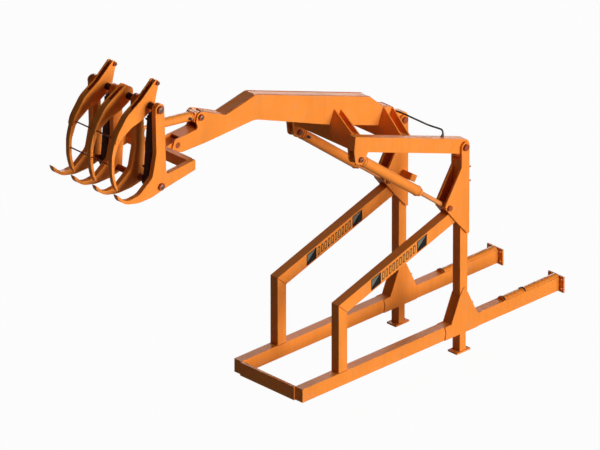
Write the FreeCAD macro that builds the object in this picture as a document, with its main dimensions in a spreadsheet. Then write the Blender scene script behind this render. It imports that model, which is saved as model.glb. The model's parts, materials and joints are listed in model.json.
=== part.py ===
"""Sugarcane loader: a chassis frame that bolts round a tractor, a boom and a claw grab.

Millimetres. X points forward, Y to the left and Z up. The origin lies midway between the rear
faces of the two bolting flanges, at mid height of the side rails. The boom is drawn raised.
"""
import FreeCAD, Part
import math
import os

from FreeCAD import Placement, Rotation, Vector

SIZES = {
    # chassis rails, rear flanges and front plate
    "overall_width": 660.0, "rail_width": 70.0, "rail_height": 100.0, "frame_length": 2455.0,
    "flange_thickness": 12.0, "flange_width": 150.0, "flange_height": 118.0,
    "flange_hole_radius": 8.5, "flange_hole_across": 110.0, "flange_hole_rise": 70.0,
    "front_plate_thickness": 20.0, "front_plate_proud": 14.0,
    # front posts and sloping braces
    "post_front": 2114.0, "post_depth": 80.0, "post_height": 511.0,
    "brace_depth": 95.0, "brace_slope": 17.7,
    # uprights, feet and base gussets
    "upright_front": 965.0, "upright_depth": 70.0, "upright_height": 1210.0,
    "leg_depth": 57.0, "leg_height": 134.0, "foot_length": 131.0, "foot_width": 87.0,
    "foot_thickness": 12.0, "foot_hole_radius": 7.0, "foot_hole_span": 95.0,
    "gusset_thickness": 6.0, "gusset_height": 244.0, "gusset_front_rise": 185.0,
    "gusset_front_reach": 86.0, "gusset_rear_rise": 195.0, "gusset_rear_reach": 96.0,
    "gusset_tongue": 145.0, "gusset_mouth": 12.0, "gusset_mouth_radius": 60.0,
    "gusset_apex_radius": 8.0, "gusset_step": 6.0,
    # towers
    "pivot_forward": 931.0, "pivot_height": 1353.0, "lift_pin_forward": 1085.0,
    "lift_pin_height": 948.0, "tower_plate": 16.0, "tower_top_radius": 37.0,
    "tower_nose_radius": 38.0, "tower_front_drop": 142.0, "tower_chin_height": 827.0,
    "tower_chin_forward": 1023.0, "tower_foot_height": 697.0, "tower_foot_depth": 14.0,
    "tower_bend": 12.0, "tower_nose_reach": 44.0, "tower_nose_rise": 14.0,
    "tower_jaw_back": 18.0, "tower_jaw_drop": 66.0,
    "pivot_pin_radius": 20.0, "lift_pin_radius": 16.0, "pin_head_extra": 4.0,
    "pin_head_thickness": 15.0, "pin_head_edge": 2.0, "stud_radius": 6.0, "stud_length": 16.0,
    "stud_high": 1190.0, "stud_low": 1085.0,
    # half-round pipes on the rails, and the bracket on the right-hand tower
    "pipe_start": 14.0, "pipe_end": 520.0, "pipe_half_width": 31.0, "pipe_rise": 17.0,
    "pipe_clamp_place": 335.0, "pipe_clamp_width": 24.0, "pipe_clamp_extra": 3.5,
    "pipe_block_length": 18.0,
    "bracket_corner": 3.0, "bracket_length": 95.0, "bracket_face": 49.0, "bracket_depth": 56.0,
    "bracket_forward": 973.0, "bracket_height": 945.0, "bracket_slope": 57.0,
    # boom arms: along and across the boom, from the pivot
    "boom_slope": 19.5, "arm_width": 66.0, "arm_depth": 104.0, "arm_length": 1105.0,
    "arm_end_slant": 24.0, "fork_setback": 107.0, "fork_pin_drop": 104.0,
    "fork_radius": 38.0, "fork_plate": 12.0, "fork_root": 54.0, "fork_slot_root": 114.0,
    # bulkheads
    "front_bulkhead_setback": 114.0, "front_bulkhead_depth": 80.0,
    "front_wing_height": 108.0, "rear_bulkhead_depth": 98.0, "rear_bulkhead_drop": 72.0,
    "bulkhead_web": 12.0,
    # centre boom
    "boom_width": 104.0, "boom_side": 12.0, "boom_cover": 8.0, "boom_tail": 500.0,
    "tail_top": 184.0, "shoulder_start": 589.0, "shoulder_end": 739.0, "crest": 251.0,
    "crest_end": 1880.0, "neck_start": 2127.0, "neck_top": 105.0, "tip_end": 2408.0,
    "tip_top": 129.0, "mouth_along": 2360.0, "mouth_across": 7.0, "cheek_back": 10.0,
    "cheek_drop": 80.0, "crest_bend": 60.0, "neck_bend": 40.0, "tip_bend": 34.0,
    "cheek_bend": 30.0, "mouth_bend": 20.0, "belly_bend": 200.0,
    "belly_start": 1110.0, "belly_end": 1827.0, "belly_rise": 27.0,
    "chin_along": 2250.0, "chin_drop": 87.0,
    "tilt_pin_along": 2369.0, "tilt_pin_across": 88.0, "tilt_pin_radius": 18.0,
    "nose_pin_along": 2523.0, "nose_pin_drop": 112.0, "nose_pin_radius": 22.0,
    "nose_front": 43.0, "nose_top": 34.0, "nose_bottom": 47.0, "nose_heel": 60.0,
    "nose_edge": 4.0, "nose_chin_bend": 30.0, "cover_gap": 8.0,
    # hydraulic cylinders
    "lift_barrel_radius": 36.0, "lift_rod_radius": 16.0, "lift_cap": 52.0,
    "lift_eye_radius": 28.0,
    "tilt_barrel_radius": 33.0, "tilt_rod_radius": 15.0, "tilt_cap": 40.0,
    "tilt_eye_radius": 26.0, "tilt_eye_behind": 106.0, "tilt_eye_below": 293.0,
    "clamp_barrel_radius": 35.0, "clamp_rod_radius": 13.0, "clamp_cap": 44.0,
    "clamp_eye_radius": 19.0, "clamp_eye_behind": 69.0, "clamp_eye_above": 141.0,
    "clamp_eye_width": 56.0, "barrel_wall": 7.0, "barrel_edge": 4.0, "gland_length": 36.0,
    "neck_length": 28.0, "neck_step": 7.0, "piston_length": 34.0, "cap_thickness": 16.0,
    "eye_wall": 16.0, "eye_overlap": 4.0,
    # grab
    "claw_shaft_forward": 3776.0, "claw_shaft_height": 2595.0, "claw_shaft_radius": 24.0,
    "low_shaft_behind": 8.0, "shaft_spacing": 570.0, "low_shaft_radius": 22.0,
    "claw_reach": 407.0, "neck_reach": 40.0, "neck_height": 250.0,
    "outer_claw_offset": 308.0, "inner_claw_offset": 103.0, "lower_claw_thickness": 36.0,
    "lower_claw_head": 40.0, "beam_behind": 328.0, "beam_depth": 46.0, "beam_height": 75.0,
    "beam_above": 15.0, "beam_edge": 6.0, "hub_radius": 32.0, "hub_play": 2.0,
    "hub_margin": 10.0, "cross_bar_behind": 59.0, "cross_bar_thickness": 20.0,
    "cross_bar_height": 85.0, "weld_overlap": 5.0,
    "lug_thickness": 12.0, "lug_radius": 28.0, "lug_gap": 44.0,
    "upper_claw_offset": 205.0, "upper_claw_width": 48.0, "upper_claw_plate": 8.0,
    "blade_drop": 562.0, "upper_claw_head": 45.0, "upper_claw_tube": 37.0,
    "horn_radius": 21.0, "horn_pin_radius": 10.0, "cross_rod_radius": 5.0,
    # clearances
    "pin_clearance": 0.05, "eye_play": 2.0, "piston_clearance": 0.4, "round_margin": 0.1,
}

# how far along each cylinder's pin distance its barrel ends and its rod's piston reaches back
LIFT_SHARES, TILT_SHARES, CLAMP_SHARES = (0.716, 0.615), (0.766, 0.555), (0.694, 0.533)

DOC = FreeCAD.newDocument("sugarcane_loader")
SHEET = DOC.addObject("Spreadsheet::Sheet", "Sizes")
for row, (alias, value) in enumerate(SIZES.items(), start=1):
    SHEET.set(f"A{row}", alias)
    SHEET.set(f"B{row}", str(value))
    SHEET.setAlias(f"B{row}", alias)
DOC.recompute()


class Sheet:
    """The sheet's values by name, as in S.rail_width."""

    def __getattr__(self, alias):
        return float(SHEET.get(alias))


S = Sheet()
SUBPARTS = []
SIDES = (("left", 1), ("right", -1))
RAIL_MIDDLE = "(Sizes.overall_width - Sizes.rail_width) / 2"
RAIL_Y = (S.overall_width - S.rail_width) / 2
BOOM_FRAME = Placement(Vector(S.pivot_forward, 0, S.pivot_height),
                       Rotation(Vector(0, 1, 0), -S.boom_slope))
WORLD = Placement()


# helpers

def subpart(obj, label):
    """Names a finished piece and lists it for writing."""
    obj.Label = label
    SUBPARTS.append(obj)
    return obj


def corner_rounded(points):
    """Closed profile through (x, y) or (x, y, r) corners, each r a tangent arc."""
    spots = [Vector(p[0], p[1], 0) for p in points]
    runs = []
    for i, p in enumerate(points):
        here, before, after = spots[i], spots[i - 1], spots[(i + 1) % len(spots)]
        radius = p[2] if len(p) > 2 else 0
        if not radius:
            runs.append((here, None, here))
            continue
        back, ahead = (before - here).normalize(), (after - here).normalize()
        half = back.getAngle(ahead) / 2
        reach = radius / math.tan(half)
        middle = (back + ahead).normalize()
        crown = here + middle * (radius / math.sin(half) - radius)
        runs.append((here + back * reach, crown, here + ahead * reach))
    curves = []
    for i, (start, crown, end) in enumerate(runs):
        last = runs[i - 1][2]
        if last.distanceToPoint(start) > 1e-6:
            curves.append(Part.LineSegment(last, start))
        if crown is not None:
            curves.append(Part.Arc(start, crown, end))
    return curves


def circle(x, y, radius):
    return Part.Circle(Vector(x, y, 0), Vector(0, 0, 1), radius)


def sketch_on(body, role, curves):
    """A sketch of the curves on one of the body's own origin planes."""
    plane = [f for f in body.Origin.OriginFeatures if f.Role == role][0]
    sketch = body.newObject("Sketcher::SketchObject", "Profile")
    sketch.AttachmentSupport = [(plane, "")]
    sketch.MapMode = "FlatFace"
    sketch.addGeometry(curves, False)
    return sketch


def add_pad(body, role, curves, length, symmetric=True):
    pad = body.newObject("PartDesign::Pad", "Pad")
    pad.Profile = sketch_on(body, role, curves)
    pad.setExpression("Length", length)
    if symmetric:
        pad.SideType = "Symmetric"
    return pad


def add_slot(body, role, curves, length):
    """Cuts the curves' area out of the body, symmetric about the plane."""
    slot = body.newObject("PartDesign::Pocket", "Slot")
    slot.Profile = sketch_on(body, role, curves)
    slot.setExpression("Length", length)
    slot.SideType = "Symmetric"
    return slot


def place(obj, frame=WORLD, across="0"):
    """Puts a piece into its frame, moved sideways by the expression across."""
    obj.Placement = frame
    obj.setExpression("Placement.Base.y", across)
    return obj


def plate(name, corners, width, across="0", holes=(), frame=WORLD):
    """A piece of one side-view profile: X and Z corners, padded to both sides of its middle."""
    body = DOC.addObject("PartDesign::Body", name)
    curves = corner_rounded(corners) + [circle(*hole) for hole in holes]
    add_pad(body, "XZ_Plane", curves, width)
    return place(body, frame, across)


def block(name, size, low_x, mid_y, low_z):
    """An upright box: three size expressions, its low X, its middle Y and its low Z."""
    box = DOC.addObject("Part::Box", name)
    for side, text in zip(("Length", "Width", "Height"), size):
        box.setExpression(side, text)
    box.setExpression("Placement.Base.x", low_x)
    box.setExpression("Placement.Base.y", f"({mid_y}) - ({size[1]}) / 2")
    box.setExpression("Placement.Base.z", low_z)
    return box


def fused(name, pieces):
    fuse = DOC.addObject("Part::MultiFuse", name)
    fuse.Shapes = pieces
    return fuse


def together(name, pieces):
    """Like pieces that share one node."""
    group = DOC.addObject("Part::Compound", name)
    group.Links = pieces
    return group


def turned(name, profile, x, z, across=0.0, angle=0.0):
    """A piece turned about its own X axis, then swung upward by angle in the side view."""
    body = DOC.addObject("PartDesign::Body", name)
    turn = body.newObject("PartDesign::Revolution", "Turn")
    sketch = sketch_on(body, "XZ_Plane", corner_rounded(profile))
    turn.Profile = sketch
    turn.ReferenceAxis = (sketch, ["H_Axis"])
    turn.Angle = 360
    body.Placement = Placement(Vector(x, across, z), Rotation(Vector(0, 1, 0), -angle))
    return body


def cross_pin(name, x, z, start, end, radius, head_start=True, head_end=True):
    """A pin along Y from start to end, with a flat head beyond each end that has one."""
    head, thick = radius + S.pin_head_extra, S.pin_head_thickness
    profile = [(start, 0)]
    if head_start:
        profile = [(start - thick, 0), (start - thick, head, S.pin_head_edge), (start, head)]
    profile += [(start, radius), (end, radius)]
    if head_end:
        profile += [(end, head), (end + thick, head, S.pin_head_edge), (end + thick, 0)]
    else:
        profile += [(end, 0)]
    pin = turned(name, profile, 0, 0)
    pin.Placement = Placement(Vector(x, 0, z), Rotation(Vector(0, 0, 1), 90))
    return pin


def boom_point(along, across):
    """Side-view place of a point given along and across the boom, from the pivot."""
    spot = BOOM_FRAME.multVec(Vector(along, 0, across))
    return spot.x, spot.z


def bearing(start, end):
    """Distance and upward angle from one side-view point to another."""
    dx, dz = end[0] - start[0], end[1] - start[1]
    return math.hypot(dx, dz), math.degrees(math.atan2(dz, dx))


# chassis

rail_top = S.rail_height / 2


def half_round(low_x, length, across, extra=0.0):
    """A half-round length on top of a rail, extra wider and higher than the pipe."""
    half, rise = S.pipe_half_width + extra, S.pipe_rise + extra
    body = DOC.addObject("PartDesign::Body", "Pipe")
    arc = Part.Arc(Vector(half, 0, 0), Vector(0, rise, 0), Vector(-half, 0, 0))
    flat = Part.LineSegment(Vector(-half, 0, 0), Vector(half, 0, 0))
    add_pad(body, "YZ_Plane", [arc, flat], length, False)
    body.Placement = Placement(Vector(low_x, across, rail_top), Rotation())
    return body


for side, sign in SIDES:
    middle = f"{sign} * {RAIL_MIDDLE}"

    rail = block("Rail", ("Sizes.frame_length - Sizes.flange_thickness", "Sizes.rail_width",
                          "Sizes.rail_height"),
                 "Sizes.flange_thickness", middle, "-Sizes.rail_height / 2")
    subpart(rail, f"rail_{side}")

    half_width, half_height = S.flange_width / 2, S.flange_height / 2
    flange = DOC.addObject("PartDesign::Body", "Flange")
    corners = [(-half_width, -half_height), (half_width, -half_height),
               (half_width, half_height), (-half_width, half_height)]
    holes = [circle(y * S.flange_hole_across / 2, z * S.flange_hole_rise / 2,
                    S.flange_hole_radius) for y in (-1, 1) for z in (-1, 1)]
    add_pad(flange, "YZ_Plane", corner_rounded(corners) + holes, "Sizes.flange_thickness", False)
    subpart(place(flange, WORLD, middle), f"rear_flange_{side}")

    # the post and the brace meet on a mitre from the outer to the inner corner
    post_rear = S.post_front - S.post_depth
    climb = math.tan(math.radians(S.brace_slope))
    outer = rail_top + S.post_height
    inner = outer + S.post_depth * climb - S.brace_depth / math.cos(math.radians(S.brace_slope))
    post = plate("Post", [(post_rear, rail_top), (S.post_front, rail_top),
                          (S.post_front, outer), (post_rear, inner)], "Sizes.rail_width", middle)
    subpart(post, f"front_post_{side}")
    run = post_rear - S.upright_front
    brace = plate("Brace", [(S.post_front, outer), (post_rear, inner),
                            (S.upright_front, inner + run * climb),
                            (S.upright_front, outer + (run + S.post_depth) * climb)],
                  "Sizes.rail_width", middle)
    subpart(brace, f"brace_{side}")

    upright_rear = S.upright_front - S.upright_depth
    upright = plate("Upright", [(upright_rear, rail_top), (S.upright_front, rail_top),
                                (S.upright_front, rail_top + S.upright_height),
                                (upright_rear, rail_top + S.upright_height)],
                    "Sizes.rail_width", middle)
    subpart(upright, f"upright_{side}")

    # foot: a leg under the rail on a bolted plate
    foot = DOC.addObject("PartDesign::Body", "Foot")
    long, wide = S.foot_length / 2, S.foot_width / 2
    corners = [(-long, -wide), (long, -wide), (long, wide), (-long, wide)]
    holes = [circle(x * S.foot_hole_span / 2, 0, S.foot_hole_radius) for x in (-1, 1)]
    add_pad(foot, "XY_Plane", corner_rounded(corners) + holes, "Sizes.foot_thickness", False)
    half_leg, half_rail = S.leg_depth / 2, S.rail_width / 2
    corners = [(-half_leg, -half_rail), (half_leg, -half_rail),
               (half_leg, half_rail), (-half_leg, half_rail)]
    add_pad(foot, "XY_Plane", corner_rounded(corners),
            "Sizes.leg_height + Sizes.foot_thickness", False)
    foot.setExpression("Placement.Base.x", "Sizes.upright_front - Sizes.leg_depth / 2")
    foot.setExpression("Placement.Base.y", middle)
    foot.setExpression("Placement.Base.z",
                       "-Sizes.rail_height / 2 - Sizes.leg_height - Sizes.foot_thickness")
    subpart(foot, f"foot_{side}")

    # base gusset: a wedge before and behind the upright between two face plates
    front_low = S.upright_front + S.gusset_front_reach
    rear_low = upright_rear - S.gusset_rear_reach
    tongue = S.upright_front + S.gusset_tongue
    face = [(rear_low, -rail_top), (rear_low, rail_top),
            (upright_rear, rail_top + S.gusset_rear_rise),
            ((upright_rear + S.upright_front) / 2, rail_top + S.gusset_height,
             S.gusset_apex_radius),
            (S.upright_front + S.gusset_step, rail_top + S.gusset_front_rise),
            (front_low, rail_top), (tongue, rail_top),
            (tongue - S.gusset_mouth, 0, S.gusset_mouth_radius), (tongue, -rail_top)]
    outward = f"({RAIL_MIDDLE} + (Sizes.rail_width + Sizes.gusset_thickness) / 2)"
    inward = f"({RAIL_MIDDLE} - (Sizes.rail_width + Sizes.gusset_thickness) / 2)"
    wedge_front = [(S.upright_front, rail_top), (front_low, rail_top),
                   (S.upright_front, rail_top + S.gusset_front_rise)]
    wedge_rear = [(upright_rear, rail_top), (rear_low, rail_top),
                  (upright_rear, rail_top + S.gusset_rear_rise)]
    gusset = fused("Gusset", [
        plate("GussetFace", face, "Sizes.gusset_thickness", f"{sign} * {outward}"),
        plate("GussetBack", face, "Sizes.gusset_thickness", f"{sign} * {inward}"),
        plate("WedgeFront", wedge_front, "Sizes.rail_width", middle),
        plate("WedgeRear", wedge_rear, "Sizes.rail_width", middle)])
    subpart(gusset, f"base_gusset_{side}")

    # tower side plates, outside and inside of the upright
    slant_x, slant_z = S.lift_pin_forward, S.lift_pin_height
    front = S.pivot_forward + S.tower_top_radius
    top_round = S.tower_top_radius - S.round_margin
    tower = [(S.pivot_forward - S.tower_top_radius, S.pivot_height + S.tower_top_radius,
              top_round),
             (front, S.pivot_height + S.tower_top_radius, top_round),
             (front, S.pivot_height - S.tower_front_drop, S.tower_bend),
             (slant_x + S.tower_nose_reach, slant_z + S.tower_nose_rise, S.tower_nose_radius),
             (slant_x - S.tower_jaw_back, slant_z - S.tower_jaw_drop, S.tower_nose_radius),
             (S.tower_chin_forward, S.tower_chin_height),
             (upright_rear + S.tower_foot_depth, S.tower_foot_height),
             (S.pivot_forward - S.tower_top_radius, S.tower_foot_height)]
    holes = [(S.pivot_forward, S.pivot_height, S.pivot_pin_radius + S.pin_clearance),
             (slant_x, slant_z, S.lift_pin_radius + S.pin_clearance)]
    for name, word in (("outer", "+"), ("inner", "-")):
        offset = f"({RAIL_MIDDLE} {word} (Sizes.rail_width + Sizes.tower_plate) / 2)"
        tower_plate = plate("TowerPlate", tower, "Sizes.tower_plate", f"{sign} * {offset}", holes)
        subpart(tower_plate, f"tower_plate_{name}_{side}")

    # half-round pipe on the rail, with a clamp and an end block
    clamp_from = S.pipe_clamp_place - S.pipe_clamp_width / 2
    pipe = fused("RailPipe", [
        half_round(S.pipe_start, "Sizes.pipe_end - Sizes.pipe_start", sign * RAIL_Y),
        half_round(clamp_from, "Sizes.pipe_clamp_width", sign * RAIL_Y, S.pipe_clamp_extra),
        half_round(S.pipe_end, "Sizes.pipe_block_length", sign * RAIL_Y, S.pipe_clamp_extra)])
    subpart(pipe, f"rail_pipe_{side}")

subpart(block("FrontPlate", ("Sizes.front_plate_thickness",
                             "Sizes.overall_width - 2 * Sizes.rail_width", "Sizes.rail_height"),
              "Sizes.frame_length + Sizes.front_plate_proud - Sizes.front_plate_thickness",
              "0", "-Sizes.rail_height / 2"), "front_cross_plate")

# bracket on the right-hand tower's inner face, its front as steep as the tower's slant
lean = math.radians(S.bracket_slope)
up = Vector(-math.cos(lean), math.sin(lean), 0) * S.bracket_face
back = Vector(-math.sin(lean), -math.cos(lean), 0) * S.bracket_depth
low = Vector(S.bracket_forward, S.bracket_height, 0)
bracket = plate("Bracket", [(p.x, p.y, S.bracket_corner)
                            for p in (low, low + up, low + up + back, low + back)],
                "Sizes.bracket_length", "-((Sizes.overall_width / 2 - Sizes.rail_width"
                " - Sizes.tower_plate) - Sizes.bracket_length / 2)")
subpart(bracket, "tower_bracket")

# tower pins: the boom pivots run right through, the lower ones are stubs in each plate
tower_out = S.overall_width / 2 + S.tower_plate
tower_in = S.overall_width / 2 - S.rail_width - S.tower_plate
pivot_pins, lower_pins, studs = [], [], []
for sign in (1, -1):
    near, far = sorted((sign * tower_in, sign * tower_out))
    pivot_pins.append(cross_pin("PivotPin", S.pivot_forward, S.pivot_height, near, far,
                                S.pivot_pin_radius))
    lower_pins.append(cross_pin("LowerPin", S.lift_pin_forward, S.lift_pin_height,
                                near, near + S.tower_plate, S.lift_pin_radius, head_end=False))
    lower_pins.append(cross_pin("LowerPin", S.lift_pin_forward, S.lift_pin_height,
                                far - S.tower_plate, far, S.lift_pin_radius, head_start=False))
    for z in (S.stud_high, S.stud_low):
        studs.append(turned("Stud", [(-S.stud_length, 0), (-S.stud_length, S.stud_radius),
                                     (0, S.stud_radius), (0, 0)],
                            S.pivot_forward - S.tower_top_radius, z,
                            sign * (S.overall_width + S.tower_plate) / 2))
subpart(together("PivotPins", pivot_pins), "boom_pivot_pins")
subpart(together("LowerPins", lower_pins), "lift_lower_pins")
subpart(together("Studs", studs), "tower_studs")

# boom

half_arm = S.arm_depth / 2
fork_at = S.arm_length - S.fork_setback
tail_round, fork_round = half_arm - S.round_margin, S.fork_radius - S.round_margin
arm_corners = [(-half_arm, half_arm, tail_round), (-half_arm, -half_arm, tail_round),
               (fork_at - S.fork_root, -half_arm),
               (fork_at - S.fork_radius, -S.fork_pin_drop - S.fork_radius, fork_round),
               (fork_at + S.fork_radius, -S.fork_pin_drop - S.fork_radius, fork_round),
               (S.arm_length - S.arm_end_slant, -half_arm), (S.arm_length, half_arm)]
arm_holes = [(0, 0, S.pivot_pin_radius + S.pin_clearance),
             (fork_at, -S.fork_pin_drop, S.lift_pin_radius + S.pin_clearance)]
slot_rear, slot_front = fork_at - S.fork_slot_root, S.arm_length + S.fork_radius
fork_slot = [(slot_rear, -half_arm), (slot_rear, -2 * S.fork_pin_drop),
             (slot_front, -2 * S.fork_pin_drop), (slot_front, -half_arm)]
for side, sign in SIDES:
    arm = plate("Arm", arm_corners, "Sizes.arm_width", f"{sign} * {RAIL_MIDDLE}", arm_holes,
                BOOM_FRAME)
    add_slot(arm, "XZ_Plane", corner_rounded(fork_slot),
             "Sizes.arm_width - 2 * Sizes.fork_plate")
    subpart(arm, f"boom_arm_{side}")

fork_x, fork_z = boom_point(fork_at, -S.fork_pin_drop)
fork_pins = [cross_pin("ForkPin", fork_x, fork_z, sign * RAIL_Y - S.arm_width / 2,
                       sign * RAIL_Y + S.arm_width / 2, S.lift_pin_radius) for sign in (1, -1)]
subpart(together("ForkPins", fork_pins), "fork_pins")

arm_inner = RAIL_Y - S.arm_width / 2
half_boom = S.boom_width / 2


def transverse(name, corners, along_from, depth):
    """A profile across the boom (Y and height), padded forward from a place along it."""
    body = DOC.addObject("PartDesign::Body", name)
    add_pad(body, "YZ_Plane", corner_rounded(corners), depth, False)
    body.Placement = Placement(Vector(along_from, 0, 0), Rotation())
    return body


def wing_webs(rise, rear, depth):
    """Upright three-cornered webs from both arms to the centre boom, at rear and at front."""
    webs = []
    for sign in (1, -1):
        corners = [(sign * half_boom, half_arm), (sign * arm_inner, half_arm),
                   (sign * half_boom, half_arm + rise)]
        for along_from in (rear, rear + depth - S.bulkhead_web):
            webs.append(transverse("Web", corners, along_from, "Sizes.bulkhead_web"))
    return webs


# front bulkhead: a beam between the arms, with two webs up to each side of the boom
bulkhead_rear = S.arm_length - S.front_bulkhead_setback
beam_corners = [(-arm_inner, -half_arm), (arm_inner, -half_arm),
                (arm_inner, half_arm), (-arm_inner, half_arm)]
front_bulkhead = fused("FrontBulkhead", [
    transverse("Beam", beam_corners, bulkhead_rear, "Sizes.front_bulkhead_depth")]
    + wing_webs(S.front_wing_height, bulkhead_rear, S.front_bulkhead_depth))
front_bulkhead.Placement = BOOM_FRAME
subpart(front_bulkhead, "front_bulkhead")

# rear bulkhead: a lower beam, a web across the boom's tail and webs down to the arms
rear_from = S.boom_tail - S.bulkhead_web
low = half_arm - S.rear_bulkhead_drop
beam_corners = [(-arm_inner, low), (arm_inner, low), (arm_inner, half_arm),
                (-arm_inner, half_arm)]
tail_corners = [(-half_boom, half_arm), (half_boom, half_arm), (half_boom, S.tail_top),
                (-half_boom, S.tail_top)]
rear_bulkhead = fused("RearBulkhead", [
    transverse("Beam", beam_corners, rear_from, "Sizes.rear_bulkhead_depth"),
    transverse("Tail", tail_corners, rear_from, "Sizes.bulkhead_web")]
    + wing_webs(S.tail_top - half_arm, rear_from, S.rear_bulkhead_depth))
rear_bulkhead.Placement = BOOM_FRAME
subpart(rear_bulkhead, "rear_bulkhead")

# centre boom: the side plates' outline, and covers that follow its top and its belly
top_line = [(S.boom_tail, S.tail_top), (S.shoulder_start, S.tail_top),
            (S.shoulder_end, S.crest), (S.crest_end, S.crest),
            (S.neck_start, S.neck_top), (S.tip_end, S.tip_top)]
nose_x, nose_n = S.nose_pin_along, -S.nose_pin_drop
nose_low = nose_n - S.nose_bottom
belly_line = [(S.boom_tail, half_arm), (S.belly_start, half_arm),
              (S.belly_end, half_arm + S.belly_rise), (S.chin_along, -S.chin_drop),
              (nose_x - S.nose_heel, nose_low)]
nose_line = [(S.mouth_along, S.mouth_across), (nose_x + S.nose_front, nose_n + S.nose_top)]
side_outline = (top_line[:3]
                + [(S.crest_end, S.crest, S.crest_bend),
                   (S.neck_start, S.neck_top, S.neck_bend),
                   (S.tip_end, S.tip_top, S.tip_bend),
                   (S.tip_end - S.cheek_back, S.tip_top - S.cheek_drop, S.cheek_bend),
                   nose_line[0] + (S.mouth_bend,), nose_line[1] + (S.nose_edge,),
                   (nose_x + S.nose_front, nose_low, S.nose_chin_bend),
                   belly_line[4] + (S.nose_heel,)]
                + [belly_line[3] + (S.belly_bend,), belly_line[2] + (S.belly_bend,)]
                + belly_line[1::-1])
side_holes = [(S.tilt_pin_along, S.tilt_pin_across, S.tilt_pin_radius + S.pin_clearance),
              (nose_x, nose_n, S.nose_pin_radius + S.pin_clearance)]
for side, sign in SIDES:
    side_plate = plate("BoomSide", side_outline, "Sizes.boom_side",
                       f"{sign} * (Sizes.boom_width - Sizes.boom_side) / 2", side_holes,
                       BOOM_FRAME)
    subpart(side_plate, f"boom_side_{side}")


def strip(points, thickness):
    """Outline of a bent strip: the points, and their copies thickness away on the right."""
    moved = []
    for i, (x, n) in enumerate(points):
        normals = []
        for a, b in ((i - 1, i), (i, i + 1)):
            if 0 <= a and b < len(points):
                dx, dn = points[b][0] - points[a][0], points[b][1] - points[a][1]
                length = math.hypot(dx, dn)
                normals.append((dn / length, -dx / length))
        mx, mn = sum(p[0] for p in normals), sum(p[1] for p in normals)
        scale = thickness * len(normals) / (mx * mx + mn * mn)
        moved.append((x + mx * scale, n + mn * scale))
    return list(points) + moved[::-1]


def along_line(points, stop):
    """The line's points up to a place along it, with the last one cut off there."""
    kept = [p for p in points if p[0] < stop]
    after = points[len(kept)]
    share = (stop - kept[-1][0]) / (after[0] - kept[-1][0])
    kept.append((stop, kept[-1][1] + share * (after[1] - kept[-1][1])))
    return kept


cover_stop = S.tilt_pin_along - S.tilt_barrel_radius - S.cover_gap
inner_width = "Sizes.boom_width - 2 * Sizes.boom_side"
cover_line = along_line(top_line, cover_stop)
top_cover = plate("TopCover", strip(cover_line, S.boom_cover), inner_width, "0", (), BOOM_FRAME)
subpart(top_cover, "boom_top_cover")
belly = plate("BottomCover", strip(belly_line, -S.boom_cover), inner_width, "0", (), BOOM_FRAME)
nose_top = along_line(nose_line, S.nose_pin_along - S.cover_gap)
nose_cover = plate("NoseCover", strip(nose_top, S.boom_cover), inner_width, "0", (), BOOM_FRAME)
subpart(together("LowerCovers", [belly, nose_cover]), "boom_lower_covers")

tilt_base = boom_point(S.tilt_pin_along, S.tilt_pin_across)
nose = boom_point(nose_x, nose_n)
subpart(cross_pin("TiltPin", *tilt_base, -half_boom, half_boom, S.tilt_pin_radius), "tilt_pin")
subpart(cross_pin("NosePin", *nose, -half_boom, half_boom, S.nose_pin_radius, False, False),
        "nose_pin")

# hydraulic cylinders


def barrel(name, base, target, across, radius, shares, cap, rod_radius, pin_radius, eye_width):
    """Barrel hinged at base and pointing at target: eye, end cap, tube, and a necked gland."""
    distance, angle = bearing(base, target)
    bore, gland = radius - S.barrel_wall, shares[0] * distance
    wall_end, neck = gland - S.gland_length, gland - S.neck_length
    profile = [(cap, 0), (cap, radius, S.barrel_edge), (neck, radius),
               (neck + S.neck_step, radius - S.neck_step), (gland, radius - S.neck_step),
               (gland, rod_radius + S.pin_clearance),
               (wall_end, rod_radius + S.pin_clearance), (wall_end, bore),
               (cap + S.cap_thickness, bore), (cap + S.cap_thickness, 0)]
    body = turned(name, profile, base[0], base[1], across, angle)
    eye, root = min(radius, pin_radius + S.eye_wall), cap + S.eye_overlap
    ring = corner_rounded([(-eye, -eye, eye - S.round_margin), (root, -eye), (root, eye),
                           (-eye, eye, eye - S.round_margin)])
    hole = circle(0, 0, pin_radius + S.pin_clearance)
    add_pad(body, "XZ_Plane", ring + [hole], str(eye_width))
    return body


def rod(name, eye_place, base, across, radius, shares, eye_radius, eye_width, bore):
    """Rod with its eye at eye_place, pointing back to the barrel's base, with a piston."""
    distance, angle = bearing(eye_place, base)
    head, length = bore - S.piston_clearance, shares[1] * distance
    profile = [(0, 0), (0, radius), (length - S.piston_length, radius),
               (length - S.piston_length, head), (length, head), (length, 0)]
    body = turned(name, profile, eye_place[0], eye_place[1], across, angle)
    add_pad(body, "XZ_Plane", [circle(0, 0, eye_radius)], str(eye_width))
    return body


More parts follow.
